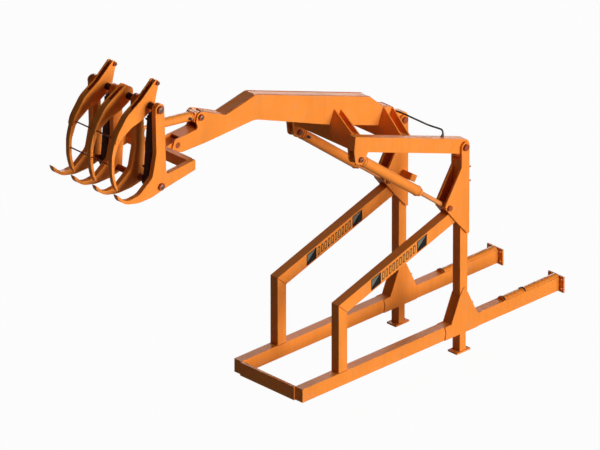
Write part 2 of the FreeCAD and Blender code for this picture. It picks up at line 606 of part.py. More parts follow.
shaft = (S.claw_shaft_forward, S.claw_shaft_height)
low_shaft = (shaft[0] - S.low_shaft_behind, shaft[1] - S.shaft_spacing)
lift_base, lift_eye = (fork_x, fork_z), (S.lift_pin_forward, S.lift_pin_height)
tilt_eye = (shaft[0] - S.tilt_eye_behind, shaft[1] - S.tilt_eye_below)
clamp_eye = (shaft[0] - S.clamp_eye_behind, shaft[1] + S.clamp_eye_above)
fork_gap = S.arm_width - 2 * S.fork_plate - S.eye_play
claw_gap = S.upper_claw_width - 2 * S.upper_claw_plate
for side, sign in SIDES:
    y = sign * RAIL_Y
    subpart(barrel("LiftBarrel", lift_base, lift_eye, y, S.lift_barrel_radius, LIFT_SHARES,
                   S.lift_cap, S.lift_rod_radius, S.lift_pin_radius, fork_gap),
            f"lift_barrel_{side}")
    subpart(rod("LiftRod", lift_eye, lift_base, y, S.lift_rod_radius, LIFT_SHARES,
                S.lift_eye_radius, S.rail_width - 2 * S.eye_play,
                S.lift_barrel_radius - S.barrel_wall), f"lift_rod_{side}")
    y = sign * S.upper_claw_offset
    subpart(barrel("ClampBarrel", low_shaft, clamp_eye, y, S.clamp_barrel_radius, CLAMP_SHARES,
                   S.clamp_cap, S.clamp_rod_radius, S.low_shaft_radius, S.clamp_eye_width),
            f"clamp_barrel_{side}")
    subpart(rod("ClampRod", clamp_eye, low_shaft, y, S.clamp_rod_radius, CLAMP_SHARES,
                S.clamp_eye_radius, claw_gap - 2 * S.eye_play,
                S.clamp_barrel_radius - S.barrel_wall), f"clamp_rod_{side}")
subpart(barrel("TiltBarrel", tilt_base, tilt_eye, 0, S.tilt_barrel_radius, TILT_SHARES,
               S.tilt_cap, S.tilt_rod_radius, S.tilt_pin_radius,
               S.boom_width - 2 * S.boom_side - 2 * S.eye_play), "tilt_barrel")
subpart(rod("TiltRod", tilt_eye, tilt_base, 0, S.tilt_rod_radius, TILT_SHARES,
            S.tilt_eye_radius, S.lug_gap - 2 * S.eye_play,
            S.tilt_barrel_radius - S.barrel_wall), "tilt_rod")

# grab, lower claws

claw_holes = [shaft + (S.claw_shaft_radius + S.pin_clearance,),
              low_shaft + (S.low_shaft_radius + S.pin_clearance,)]
head = S.lower_claw_head
head_round = head - S.round_margin


def claw_points(middle, size, corners):
    """Corners given as shares of a claw's size, measured from the middle of its shaft."""
    return [(middle[0] + size * x, middle[1] + size * z, size * r) for x, z, r in corners]


# the hook from its neck forward along the inside, over the tip and back along the underside
hook = ([(shaft[0] + head, shaft[1] + head, head_round),
         (low_shaft[0] + S.neck_reach, shaft[1] - S.shaft_spacing + S.neck_height,
          S.neck_height / 2)]
        + claw_points(low_shaft, S.claw_reach, [
            (0.19, 0.216, 0.15), (0.49, 0.005, 0.22), (0.78, -0.025, 0.27),
            (1.0, 0.187, 0.008), (0.953, 0.054, 0.22), (0.78, -0.066, 0.37),
            (0.504, -0.135, 0.6), (0.2, -0.133, 0.5)]))
neck_back = (shaft[0] - head, shaft[1] + head, head_round)
inner_claw = hook + claw_points(low_shaft, S.claw_reach, [
    (-0.088, -0.084, 0.1), (-0.125, 0.49, 0.49)]) + [neck_back]
beam_rear, beam_low = shaft[0] - S.beam_behind, low_shaft[1] + S.beam_above
outer_claw = (hook + claw_points(low_shaft, S.claw_reach, [(-0.061, -0.074, 0.15)])
              + [(beam_rear, beam_low, S.beam_edge),
                 (beam_rear, beam_low + S.beam_height, S.beam_edge)]
              + claw_points(low_shaft, S.claw_reach, [(-0.125, 0.177, 0.06)]) + [neck_back])
for side, sign in SIDES:
    for name, corners, offset in (("outer", outer_claw, "Sizes.outer_claw_offset"),
                                  ("inner", inner_claw, "Sizes.inner_claw_offset")):
        claw = plate("LowerClaw", corners, "Sizes.lower_claw_thickness", f"{sign} * {offset}",
                     claw_holes)
        subpart(claw, f"lower_claw_{name}_{side}")

# rear cross beam with the hub that turns on the nose pin
hub_r = S.hub_radius
beam = block("CrossBeam", ("Sizes.beam_depth",
                           "2 * Sizes.outer_claw_offset - Sizes.lower_claw_thickness",
                           "Sizes.beam_height"),
             "Sizes.claw_shaft_forward - Sizes.beam_behind", "0",
             "Sizes.claw_shaft_height - Sizes.shaft_spacing + Sizes.beam_above")
hub_front = beam_rear + S.weld_overlap
hub = plate("Hub", [(hub_front, beam_low + S.beam_height - S.hub_margin),
                    (nose[0] - hub_r, nose[1] + hub_r, hub_r - S.eye_play),
                    (nose[0] - hub_r, nose[1] - hub_r, hub_r - S.eye_play),
                    (hub_front, beam_low + S.hub_margin)],
            "Sizes.boom_width - 2 * Sizes.boom_side - 2 * Sizes.hub_play", "0",
            [nose + (S.nose_pin_radius + S.pin_clearance,)])
subpart(fused("GrabBeam", [beam, hub]), "grab_cross_beam")

# bar between the inner claws with two lugs for the tilt rod
bar = block("CrossBar", ("Sizes.cross_bar_thickness",
                         "2 * Sizes.inner_claw_offset - Sizes.lower_claw_thickness",
                         "Sizes.cross_bar_height"),
            "Sizes.claw_shaft_forward - Sizes.cross_bar_behind", "0",
            "Sizes.claw_shaft_height - Sizes.tilt_eye_below - Sizes.cross_bar_height / 2")
lug_r = S.lug_radius
lug_root = shaft[0] - S.cross_bar_behind + S.weld_overlap
lug_corners = [(lug_root, tilt_eye[1] + lug_r),
               (tilt_eye[0] - lug_r, tilt_eye[1] + lug_r, lug_r - S.round_margin),
               (tilt_eye[0] - lug_r, tilt_eye[1] - lug_r, lug_r - S.round_margin),
               (lug_root, tilt_eye[1] - lug_r)]
lugs = [plate("Lug", lug_corners, "Sizes.lug_thickness",
              f"{sign} * (Sizes.lug_gap + Sizes.lug_thickness) / 2",
              [tilt_eye + (S.tilt_pin_radius + S.pin_clearance,)]) for sign in (1, -1)]
subpart(fused("TiltBar", [bar] + lugs), "tilt_cross_bar")

lug_in, lug_out = S.lug_gap / 2, S.lug_gap / 2 + S.lug_thickness
subpart(together("LugPins", [
    cross_pin("LugPin", *tilt_eye, lug_in, lug_out, S.tilt_pin_radius, head_start=False),
    cross_pin("LugPin", *tilt_eye, -lug_out, -lug_in, S.tilt_pin_radius, head_end=False)]),
    "tilt_lug_pins")

claws_out = S.outer_claw_offset + S.lower_claw_thickness / 2
subpart(cross_pin("ClawShaft", *shaft, -claws_out, claws_out, S.claw_shaft_radius), "claw_shaft")
subpart(cross_pin("LowShaft", *low_shaft, -claws_out, claws_out, S.low_shaft_radius),
        "lower_shaft")

# upper claws

top, horn_r = S.upper_claw_head, S.horn_radius
size = S.blade_drop
# outer edge of the tine from above its shaft to the tip, and its inner edge back from there
over = [(0.133, 0.109, 0.27), (0.365, -0.021, 0.27), (0.534, -0.231, 0.27)]
down = [(0.609, -0.48, 0.53), (0.609, -0.712, 0.445), (0.566, -0.89, 0.35),
        (0.496, -1.0, 0.006), (0.534, -0.89, 0.445), (0.568, -0.712, 0.445),
        (0.566, -0.516, 0.21), (0.48, -0.303, 0.21), (0.303, -0.2, 0.18)]
cheek_end = [(0.562, -0.338, 0.014), (0.502, -0.338, 0.014), (0.48, -0.303, 0.07)]
back = [(0.303, -0.2, 0.18), (0.133, -0.157, 0.107), (-0.014, -0.085, 0.053)]
tine = claw_points(shaft, size, [(0.267, 0.03, 0)] + over[1:] + down + [(0.25, -0.186, 0)])
cheek_front = claw_points(shaft, size, over + cheek_end + back)
cheek_back = (shaft[0] - top, shaft[1] - horn_r / 2, horn_r)
horn_top = [(clamp_eye[0] - horn_r, clamp_eye[1] + horn_r, horn_r - S.eye_play),
            (clamp_eye[0] + horn_r - S.eye_play, clamp_eye[1] + horn_r, horn_r - S.eye_play)]
plain_top = [(shaft[0] - top, shaft[1] + top, top - S.eye_play),
             (shaft[0] + horn_r, shaft[1] + 2 * top - S.eye_play, horn_r)]
high_rod, low_rod = claw_points(shaft, size, [(0.516, -0.29, 0), (0.587, -0.614, 0)])
rod_hole = S.cross_rod_radius + S.pin_clearance
shaft_hole = shaft + (S.claw_shaft_radius + S.pin_clearance,)
horn_hole = clamp_eye + (S.horn_pin_radius + S.pin_clearance,)
gap_width = "Sizes.upper_claw_width - 2 * Sizes.upper_claw_plate"
for side, sign, horned in (("left", 1, True), ("middle", 0, False), ("right", -1, True)):
    middle = f"{sign} * Sizes.upper_claw_offset"
    tube = DOC.addObject("PartDesign::Body", "Tube")
    add_pad(tube, "XZ_Plane", [circle(*shaft, S.upper_claw_tube), circle(*shaft_hole)],
            gap_width)
    pieces = [place(tube, WORLD, middle),
              plate("Tine", tine, gap_width, middle,
                    [high_rod[:2] + (rod_hole,), low_rod[:2] + (rod_hole,)])]
    corners = (horn_top if horned else plain_top) + cheek_front + [cheek_back]
    holes = [shaft_hole, high_rod[:2] + (rod_hole,)] + ([horn_hole] if horned else [])
    for face in (1, -1):
        offset = f"{middle} + {face} * (Sizes.upper_claw_width - Sizes.upper_claw_plate) / 2"
        pieces.append(plate("Cheek", corners, "Sizes.upper_claw_plate", offset, holes))
    subpart(fused("UpperClaw", pieces), f"upper_claw_{side}")

rods = []
for (x, z, _), width in ((high_rod, S.upper_claw_width), (low_rod, claw_gap)):
    reach = S.upper_claw_offset + width / 2
    bar = turned("CrossRod", [(-reach, 0), (-reach, S.cross_rod_radius),
                              (reach, S.cross_rod_radius), (reach, 0)], 0, 0)
    bar.Placement = Placement(Vector(x, 0, z), Rotation(Vector(0, 0, 1), 90))
    rods.append(bar)
subpart(together("CrossRods", rods), "claw_cross_rods")

horn_pins = []
half, thick = S.upper_claw_width / 2, S.upper_claw_plate
for sign in (1, -1):
    middle = sign * S.upper_claw_offset
    horn_pins.append(cross_pin("HornPin", *clamp_eye, middle - half, middle - half + thick,
                               S.horn_pin_radius, head_end=False))
    horn_pins.append(cross_pin("HornPin", *clamp_eye, middle + half - thick, middle + half,
                               S.horn_pin_radius, head_start=False))
subpart(together("HornPins", horn_pins), "horn_pins")

# checks and files

DOC.recompute()
for obj in DOC.Objects:
    if "Invalid" in obj.State or "Error" in obj.State:
        raise RuntimeError(f"{obj.Name} ({obj.Label}) did not build: {obj.State}")
os.makedirs("parts", exist_ok=True)
for obj in SUBPARTS:
    if obj.Shape.isNull() or not obj.Shape.isValid() or not obj.Shape.Solids:
        raise RuntimeError(f"{obj.Label} has no valid solid")
for obj in SUBPARTS:
    obj.Shape.exportStep(f"parts/{obj.Label}.step")
    print(obj.Label, len(obj.Shape.Solids), round(obj.Shape.Volume))
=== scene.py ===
"""Looks of a sugarcane loader: orange machine paint, weld beads, pins and hydraulics.

Everything is in metres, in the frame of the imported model: X towards the grab, Y to the
left, Z up.
"""
import json
import math
import random

import bmesh
import bpy
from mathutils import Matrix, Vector
from mathutils.bvhtree import BVHTree


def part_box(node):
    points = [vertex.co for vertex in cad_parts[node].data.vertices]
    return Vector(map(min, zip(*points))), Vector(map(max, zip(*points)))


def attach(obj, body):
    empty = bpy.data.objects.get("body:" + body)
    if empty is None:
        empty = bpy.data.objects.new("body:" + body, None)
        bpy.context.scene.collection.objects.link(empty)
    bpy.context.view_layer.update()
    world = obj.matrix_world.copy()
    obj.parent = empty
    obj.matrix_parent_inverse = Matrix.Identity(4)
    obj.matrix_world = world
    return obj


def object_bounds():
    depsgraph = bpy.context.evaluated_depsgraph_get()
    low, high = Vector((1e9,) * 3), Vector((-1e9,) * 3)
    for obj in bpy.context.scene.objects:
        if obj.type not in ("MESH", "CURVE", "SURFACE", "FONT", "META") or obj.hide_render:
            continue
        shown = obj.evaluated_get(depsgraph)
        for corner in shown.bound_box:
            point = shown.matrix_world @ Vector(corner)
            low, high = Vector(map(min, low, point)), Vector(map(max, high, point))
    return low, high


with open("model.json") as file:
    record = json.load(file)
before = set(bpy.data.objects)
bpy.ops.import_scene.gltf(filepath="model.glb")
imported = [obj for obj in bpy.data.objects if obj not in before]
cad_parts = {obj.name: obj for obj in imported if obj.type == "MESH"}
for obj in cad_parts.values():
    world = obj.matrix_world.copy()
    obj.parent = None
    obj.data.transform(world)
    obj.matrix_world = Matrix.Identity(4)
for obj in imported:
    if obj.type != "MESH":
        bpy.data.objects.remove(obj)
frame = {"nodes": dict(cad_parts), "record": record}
cad_low, cad_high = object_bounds()
nodes = frame["nodes"]

# places read off the frame

JOINT_AT = {joint["name"]: joint for joint in frame["record"]["behaviour"]["joints"]}
SIDES = (("left", 1), ("right", -1))
BOOM_SLOPE = math.radians(19.5)
PIVOT = Vector(JOINT_AT["boom_lift"]["pos_m"])


def on_boom(along, across, y):
    """A place in the boom's own frame: along it and across it from the pivot, and Y."""
    cos, sin = math.cos(BOOM_SLOPE), math.sin(BOOM_SLOPE)
    return Vector((PIVOT.x + along * cos - across * sin, y,
                   PIVOT.z + along * sin + across * cos))


# shader groups

DUST_COLOUR, SCUFF_COLOUR = (0.40, 0.30, 0.22, 1), (0.09, 0.05, 0.035, 1)
STAIN_COLOUR, RUST_COLOUR = (0.05, 0.035, 0.03, 1), (0.24, 0.075, 0.02, 1)


def new_group(name, inputs, outputs):
    """An empty node group with named sockets, and its two end nodes."""
    group = bpy.data.node_groups.new(name, "ShaderNodeTree")
    for label, kind, value in inputs:
        socket = group.interface.new_socket(label, in_out="INPUT", socket_type=kind)
        socket.default_value = value
    for label, kind in outputs:
        group.interface.new_socket(label, in_out="OUTPUT", socket_type=kind)
    return group, group.nodes.new("NodeGroupInput"), group.nodes.new("NodeGroupOutput")


def add_node(tree, kind, links=(), **settings):
    """A shader node with its settings, and links given as (input, socket or value)."""
    node = tree.nodes.new(kind)
    for key, value in settings.items():
        setattr(node, key, value)
    for key, value in links:
        if isinstance(value, bpy.types.NodeSocket):
            tree.links.new(value, node.inputs[key])
        else:
            node.inputs[key].default_value = value
    return node


def stretch(tree, source, low, high, to_low=0.0, to_high=1.0):
    """A value spread from one range to another."""
    return add_node(tree, "ShaderNodeMapRange", [("Value", source), ("From Min", low),
                                                 ("From Max", high), ("To Min", to_low),
                                                 ("To Max", to_high)]).outputs[0]


def calculate(tree, operation, *values):
    """The result of one Math node."""
    return add_node(tree, "ShaderNodeMath", list(enumerate(values)),
                    operation=operation).outputs[0]


def blended(tree, mask, under, over):
    """Two colours mixed by a mask."""
    return add_node(tree, "ShaderNodeMix", [(0, mask), (6, under), (7, over)],
                    data_type="RGBA").outputs[2]


def noise(tree, place, scale, detail=3.0, roughness=0.5, squeeze=(1, 1, 1)):
    """Noise at the surface, squeezed along the axes."""
    if squeeze != (1, 1, 1):
        place = add_node(tree, "ShaderNodeMapping", [("Vector", place),
                                                     ("Scale", squeeze)]).outputs[0]
    return add_node(tree, "ShaderNodeTexNoise", [("Vector", place), ("Scale", scale),
                                                 ("Detail", detail),
                                                 ("Roughness", roughness)]).outputs["Fac"]


def make_machine_paint():
    """Sprayed paint: drifts of shade, dust in patches, runs, scuffs and a fine orange peel."""
    group, start, end = new_group(
        "Machine Paint",
        [("Colour", "NodeSocketColor", (1, 1, 1, 1)), ("Shade", "NodeSocketFloat", 0.1),
         ("Dust", "NodeSocketFloat", 0.1), ("Scuffs", "NodeSocketFloat", 0.1),
         ("Gloss", "NodeSocketFloat", 0.4)],
        [("Colour", "NodeSocketColor"), ("Roughness", "NodeSocketFloat"),
         ("Height", "NodeSocketFloat")])
    place = add_node(group, "ShaderNodeTexCoord").outputs["Object"]
    drift = stretch(group, noise(group, place, 3.2, 4.0), 0.3, 0.7, -1.0, 1.0)
    runs = stretch(group, noise(group, place, 30.0, 3.0, 0.5, (1, 1, 0.07)), 0.5, 0.72)
    change = calculate(group, "MULTIPLY", drift, start.outputs["Shade"])
    change = calculate(group, "MULTIPLY_ADD", runs, -0.07, change)
    value = calculate(group, "ADD", change, 1.0)
    toned = add_node(group, "ShaderNodeHueSaturation",
                     [("Value", value), ("Color", start.outputs["Colour"])]).outputs[0]
    dust = stretch(group, noise(group, place, 13.0, 6.0, 0.65), 0.5, 0.78)
    dust = calculate(group, "MULTIPLY", dust, start.outputs["Dust"])
    dusted = blended(group, dust, toned, DUST_COLOUR)
    scratch = noise(group, place, 70.0, 8.0, 0.75, (1, 1, 2.5))
    scuffs = stretch(group, scratch, 0.66, 0.72)
    scuffs = calculate(group, "MULTIPLY", scuffs, start.outputs["Scuffs"])
    scuffed = blended(group, scuffs, dusted, SCUFF_COLOUR)
    rough = calculate(group, "MULTIPLY_ADD", dust, 0.9, start.outputs["Gloss"])
    rough = calculate(group, "MULTIPLY_ADD", scuffs, 0.3, rough)
    rough = calculate(group, "MULTIPLY_ADD", runs, -0.05, rough)
    peel = noise(group, place, 520.0, 2.0)
    height = calculate(group, "MULTIPLY_ADD", scuffs, -0.6, peel)
    for label, source in (("Colour", scuffed), ("Roughness", rough), ("Height", height)):
        group.links.new(source, end.inputs[label])
    return group


def make_handled_steel():
    """Bare or oiled steel: fine grain, oil stains and a little rust."""
    group, start, end = new_group(
        "Handled Steel",
        [("Colour", "NodeSocketColor", (1, 1, 1, 1)), ("Stain", "NodeSocketFloat", 0.3),
         ("Rust", "NodeSocketFloat", 0.1), ("Polish", "NodeSocketFloat", 0.25)],
        [("Colour", "NodeSocketColor"), ("Roughness", "NodeSocketFloat"),
         ("Height", "NodeSocketFloat")])
    place = add_node(group, "ShaderNodeTexCoord").outputs["Object"]
    grain = noise(group, place, 240.0, 3.0)
    stain = stretch(group, noise(group, place, 17.0, 5.0), 0.4, 0.68)
    stain = calculate(group, "MULTIPLY", stain, start.outputs["Stain"])
    stained = blended(group, stain, start.outputs["Colour"], STAIN_COLOUR)
    rust = stretch(group, noise(group, place, 60.0, 7.0, 0.7), 0.58, 0.7)
    rust = calculate(group, "MULTIPLY", rust, start.outputs["Rust"])
    rusty = blended(group, rust, stained, RUST_COLOUR)
    rough = calculate(group, "MULTIPLY_ADD", stain, 0.25, start.outputs["Polish"])
    rough = calculate(group, "MULTIPLY_ADD", rust, 0.5, rough)
    for label, source in (("Colour", rusty), ("Roughness", rough), ("Height", grain)):
        group.links.new(source, end.inputs[label])
    return group


PAINT = make_machine_paint()
STEEL = make_handled_steel()


def finish_material(name, group, values, metallic=0.0, bump=0.05, specular=0.14):
    """A Principled material whose colour, roughness and bump come from a group."""
    made = bpy.data.materials.new(name)
    made.use_nodes = True
    tree = made.node_tree
    shader = tree.nodes["Principled BSDF"]
    effect = tree.nodes.new("ShaderNodeGroup")
    effect.node_tree = group
    for key, value in values.items():
        effect.inputs[key].default_value = value
    relief = add_node(tree, "ShaderNodeBump", [("Height", effect.outputs["Height"]),
                                               ("Strength", bump), ("Distance", 0.001)])
    tree.links.new(effect.outputs["Colour"], shader.inputs["Base Color"])
    tree.links.new(effect.outputs["Roughness"], shader.inputs["Roughness"])
    tree.links.new(relief.outputs["Normal"], shader.inputs["Normal"])
    shader.inputs["Metallic"].default_value = metallic
    shader.inputs["Specular IOR Level"].default_value = specular
    return made


ORANGE = (0.86, 0.255, 0.034, 1)
orange_paint = finish_material(
    "orange machine paint", PAINT,
    {"Colour": ORANGE, "Shade": 0.07, "Dust": 0.16, "Scuffs": 0.35, "Gloss": 0.44})
weld_paint = finish_material(
    "painted weld bead", PAINT,
    {"Colour": (0.50, 0.115, 0.020, 1), "Shade": 0.15, "Dust": 0.2, "Scuffs": 0.5,
     "Gloss": 0.46}, bump=0.12)
# pin paint: orange paint whose base colour is darkened as painted shade for the shaded sides of
# the pin heads; its scuffs are wear
shaded_pin_paint = finish_material(
    "pin paint darkened as painted shade, with scuffs", PAINT,
    {"Colour": (0.36, 0.070, 0.022, 1), "Shade": 0.15, "Dust": 0.2, "Scuffs": 0.8,
     "Gloss": 0.42})
# near black paint: painted shade on the clamp barrels and their rings, which are orange paint
# lying in the shadow of the claws
dark_paint = finish_material(
    "cylinder paint darkened as painted shade", PAINT,
    {"Colour": (0.045, 0.014, 0.013, 1), "Shade": 0.2, "Dust": 0.12, "Scuffs": 0.3,
     "Gloss": 0.38})
stripe_black = finish_material(
    "black stripe film", PAINT,
    {"Colour": (0.012, 0.010, 0.010, 1), "Shade": 0.2, "Dust": 0.12, "Scuffs": 0.2,
     "Gloss": 0.3})
stripe_grey = finish_material(
    "grey stripe film", PAINT,
    {"Colour": (0.15, 0.16, 0.13, 1), "Shade": 0.15, "Dust": 0.15, "Scuffs": 0.2,
     "Gloss": 0.32})
stripe_sand = finish_material(
    "amber stripe film", PAINT,
    {"Colour": (0.82, 0.34, 0.06, 1), "Shade": 0.1, "Dust": 0.2, "Scuffs": 0.3,
     "Gloss": 0.32})
clamp_rubber = finish_material(
    "black clamp rubber", PAINT,
    {"Colour": (0.016, 0.013, 0.012, 1), "Shade": 0.3, "Dust": 0.35, "Scuffs": 0.0,
     "Gloss": 0.6}, bump=0.3)
fitting_steel = finish_material(
    "oiled fitting steel", STEEL,
    {"Colour": (0.20, 0.15, 0.12, 1), "Stain": 0.6, "Rust": 0.2, "Polish": 0.3},
    metallic=0.5, specular=0.3)
bolt_steel = finish_material(
    "plated bolt", STEEL,
    {"Colour": (0.42, 0.36, 0.28, 1), "Stain": 0.4, "Rust": 0.3, "Polish": 0.3},
    metallic=0.6, specular=0.4)
rod_finish = finish_material(
    "polished cylinder rod", STEEL,
    {"Colour": (0.86, 0.31, 0.08, 1), "Stain": 0.2, "Rust": 0.1, "Polish": 0.25},
    metallic=0.12, bump=0.02, specular=0.3)

EDGE_WIDTH, EDGE_ANGLE = 0.0015, math.radians(50)
# the pin paint and the near black cylinder paint are darkened as painted shade
SLOTS = {"orange_paint": orange_paint, "dark_paint": dark_paint, "painted_pins": shaded_pin_paint,
         "rod_chrome": rod_finish}
for entry in frame["record"]["subparts"]:
    node = nodes[entry["node"]]
    node.data.materials.clear()
    node.data.materials.append(SLOTS[entry["material_slot"]])
    edge = node.modifiers.new("Broken edges", "BEVEL")
    edge.width, edge.segments = EDGE_WIDTH, 2
    edge.limit_method, edge.angle_limit = "ANGLE", EDGE_ANGLE
    edge.harden_normals = True

# mesh tools


def finished(name, mesh_code, material, body, edge=0.0):
    """Turns mesh code into a named piece that rides on a body."""
    data = bpy.data.meshes.new(name)
    bmesh.ops.recalc_face_normals(mesh_code, faces=mesh_code.faces)
    mesh_code.to_mesh(data)
    mesh_code.free()
    data.materials.append(material)
    piece = bpy.data.objects.new(name, data)
    bpy.context.scene.collection.objects.link(piece)
    if edge:
        soft = piece.modifiers.new("Broken edges", "BEVEL")
        soft.width, soft.segments, soft.limit_method = edge, 2, "ANGLE"
    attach(piece, body)
    return piece


def lathe(mesh_code, profile, foot, axis, turns=28):
    """Turns (along, radius) points about an axis; a radius of zero closes an end."""
    axis = Vector(axis).normalized()
    side = axis.orthogonal().normalized()
    third = axis.cross(side)
    rings = []
    for along, radius in profile:
        if rings and (along, radius) == profile[0]:
            rings.append(rings[0])
            break
        centre = Vector(foot) + axis * along
        if radius <= 0:
            rings.append([mesh_code.verts.new(centre)])
            continue
        rings.append([mesh_code.verts.new(
            centre + (side * math.cos(a) + third * math.sin(a)) * radius)
            for a in (math.tau * i / turns for i in range(turns))])
    for lower, upper in zip(rings, rings[1:]):
        for i in range(turns):
            j = (i + 1) % turns
            if len(lower) == 1:
                corners = (lower[0], upper[j], upper[i])
            elif len(upper) == 1:
                corners = (lower[i], lower[j], upper[0])
            else:
                corners = (lower[i], lower[j], upper[j], upper[i])
            face = mesh_code.faces.new(corners)
            face.smooth = turns > 8


def prism(mesh_code, corners, push):
    """A flat outline pushed to a thickness."""
    first = [mesh_code.verts.new(Vector(c)) for c in corners]
    second = [mesh_code.verts.new(Vector(c) + Vector(push)) for c in corners]
    mesh_code.faces.new(first)
    mesh_code.faces.new(second[::-1])
    for i in range(len(first)):
        j = (i + 1) % len(first)
        mesh_code.faces.new((first[i], first[j], second[j], second[i]))


def sweep(mesh_code, line, sizes, turns=7):
    """A closed tube along a line of points, each ring with its own radius."""
    rings = []
    for i, spot in enumerate(line):
        ahead = (line[min(i + 1, len(line) - 1)] - line[max(i - 1, 0)]).normalized()
        side = ahead.cross(Vector((0.31, 0.22, 0.92))).normalized()
        third = ahead.cross(side)
        rings.append([mesh_code.verts.new(
            spot + (side * math.cos(a) + third * math.sin(a)) * sizes[i])
            for a in (math.tau * k / turns for k in range(turns))])
    for lower, upper in zip(rings, rings[1:]):
        for i in range(turns):
            j = (i + 1) % turns
            mesh_code.faces.new((lower[i], lower[j], upper[j], upper[i])).smooth = True
    mesh_code.faces.new(rings[0][::-1])
    mesh_code.faces.new(rings[-1])


# weld beads where plates and tubes meet

WELD_STEP, WELD_RADIUS, WELD_TOUCH, WELD_SHORTEST = 0.0055, 0.0032, 0.0009, 0.02
WELD_CELL, WELD_LEG = 0.008, 0.005
WELD_FULL, WELD_RIPPLE, WELD_UNEVEN, WELD_END = 0.86, 0.14, 0.05, 0.55
SHARP_EDGE, FLAT_JOINT, STRAIGHT_ON = math.radians(25), math.radians(1), 0.8
BOX_MARGIN, SAME_SPOT = 0.001, 1e-6
rng = random.Random(17)


def feature_lines(mesh_code):
    """The sharp edges of a mesh, joined into lines of (start, end, its two face normals)."""
    sharp = {}
    for edge in mesh_code.edges:
        if len(edge.link_faces) == 2 and edge.calc_face_angle() > SHARP_EDGE:
            for vert in edge.verts:
                sharp.setdefault(vert, []).append(edge)
    used, lines = set(), []
    for vert, edges in sharp.items():
        for edge in edges:
            if edge in used:
                continue
            here, line = vert, []
            while edge is not None:
                used.add(edge)
                ahead = edge.other_vert(here)
                heading = (ahead.co - here.co).normalized()
                line.append((here.co.copy(), ahead.co.copy(),
                             [face.normal.copy() for face in edge.link_faces]))
                here = ahead
                nexts = [e for e in sharp[here] if e not in used and
                         (e.other_vert(here).co - here.co).normalized().dot(heading)
                         > STRAIGHT_ON]
                edge = nexts[0] if len(nexts) == 1 else None
            lines.append(line)
    return lines


def paced(line):
    """Points at an even pace along a line, each with its two face normals."""
    for start, end, normals in line:
        count = max(1, round((end - start).length / WELD_STEP))
        for i in range(count):
            yield start.lerp(end, i / count), normals
    yield line[-1][1], line[-1][2]


def in_a_corner(spot, normals, surfaces):
    """True where the edge lies on another piece that goes on beyond it, so a bead fits."""
    return any(tree.find_nearest(spot, WELD_TOUCH)[0] is not None and any(
        tree.find_nearest(spot + normal * WELD_LEG, 2 * WELD_TOUCH)[0] is not None
        for normal in normals) for tree in surfaces)


def weld_runs(members):
    """Runs of points on the edges where one welded piece stands on another."""
    meshes, trees = {}, {}
    for name in members:
        shape = bmesh.new()
        shape.from_mesh(nodes[name].data)
        bmesh.ops.remove_doubles(shape, verts=shape.verts, dist=SAME_SPOT)
        trees[name] = BVHTree.FromBMesh(shape)
        bmesh.ops.dissolve_limit(shape, angle_limit=FLAT_JOINT, verts=shape.verts,
                                 edges=shape.edges)
        meshes[name] = shape
    boxes = {name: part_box(name) for name in members}
    taken, runs = set(), []
    for name in members:
        low, high = boxes[name]
        near = [trees[other] for other in members if other != name and all(
            low[k] < boxes[other][1][k] + BOX_MARGIN
            and boxes[other][0][k] < high[k] + BOX_MARGIN for k in range(3))]
        fresh = set()
        for line in feature_lines(meshes[name]):
            run = []
            for spot, normals in [*paced(line), (None, None)]:
                cell = spot and tuple(round(c / WELD_CELL) for c in spot)
                if spot is not None and cell not in taken and in_a_corner(spot, normals, near):
                    run.append(spot)
                    fresh.add(cell)
                    continue
                if run and (run[-1] - run[0]).length > WELD_SHORTEST:
                    runs.append(run)
                run = []
        taken |= fresh
    for shape in meshes.values():
        shape.free()
    return runs


def weld_piece(name, members, body):
    """One piece with all the beads of a weldment, rippled as the torch left them."""
    beads = bmesh.new()
    for run in weld_runs(members):
        sizes = [WELD_RADIUS * (WELD_FULL + WELD_RIPPLE * (i % 2)
                                + rng.uniform(-WELD_UNEVEN, WELD_UNEVEN))
                 for i in range(len(run))]
        sizes[0] *= WELD_END
        sizes[-1] *= WELD_END
        if len(run) > 1:
            sweep(beads, run, sizes)
    return finished(name, beads, weld_paint, body)


CHASSIS_SIDE = ("rail", "rear_flange", "front_post", "brace", "upright", "foot", "base_gusset",
                "tower_plate_outer", "tower_plate_inner")
for side, _ in SIDES:
    weld_piece(f"chassis_welds_{side}", [f"{piece}_{side}" for piece in CHASSIS_SIDE],
               "chassis")
weld_piece("front_plate_welds", ["rail_left", "rail_right", "front_cross_plate"], "chassis")
weld_piece("boom_welds", ["boom_arm_left", "boom_arm_right", "front_bulkhead", "rear_bulkhead",
                          "boom_side_left", "boom_side_right", "boom_top_cover"], "boom")
weld_piece("grab_welds", ["lower_claw_outer_left", "lower_claw_inner_left",
                          "lower_claw_inner_right", "lower_claw_outer_right",
                          "grab_cross_beam", "tilt_cross_bar"], "grab")

# cylinders: weld rings at cap and gland, the rod's wiper, and the two ports

# label, barrel radius, rod radius, where the tube starts and where its gland ends
CYLINDERS = (("lift_left", 0.036, 0.016, 0.052, 0.7456),
             ("lift_right", 0.036, 0.016, 0.052, 0.7456),
             ("tilt", 0.033, 0.015, 0.040, 0.4141),
             ("clamp_left", 0.035, 0.014, 0.044, 0.4952),
             ("clamp_right", 0.035, 0.014, 0.044, 0.4952))
RING_FROM_CAP, RING_FROM_END, RING_SINK, RING_RISE = 0.016, 0.036, 0.001, 0.0020
WIPER_FROM_END, WIPER_GAP, WIPER_EDGE, RING_WIDTH = 0.002, 0.0006, 0.0065, 0.006
PORT_FROM_CAP, PORT_FROM_END, PORT_SINK, PORT_RADIUS = 0.045, 0.065, 0.002, 0.010
BOSS_SINK, BOSS_RISE, NUT_RISE = 0.004, 0.008, 0.011


def closed_ring(start, inner, outer, width):
    """A rounded ring: along and radius points round its section, back to the first."""
    cut = width / 4
    return [(start, inner), (start, outer - cut), (start + cut, outer),
            (start + width - cut, outer), (start + width, outer - cut), (start + width, inner),
            (start, inner)]


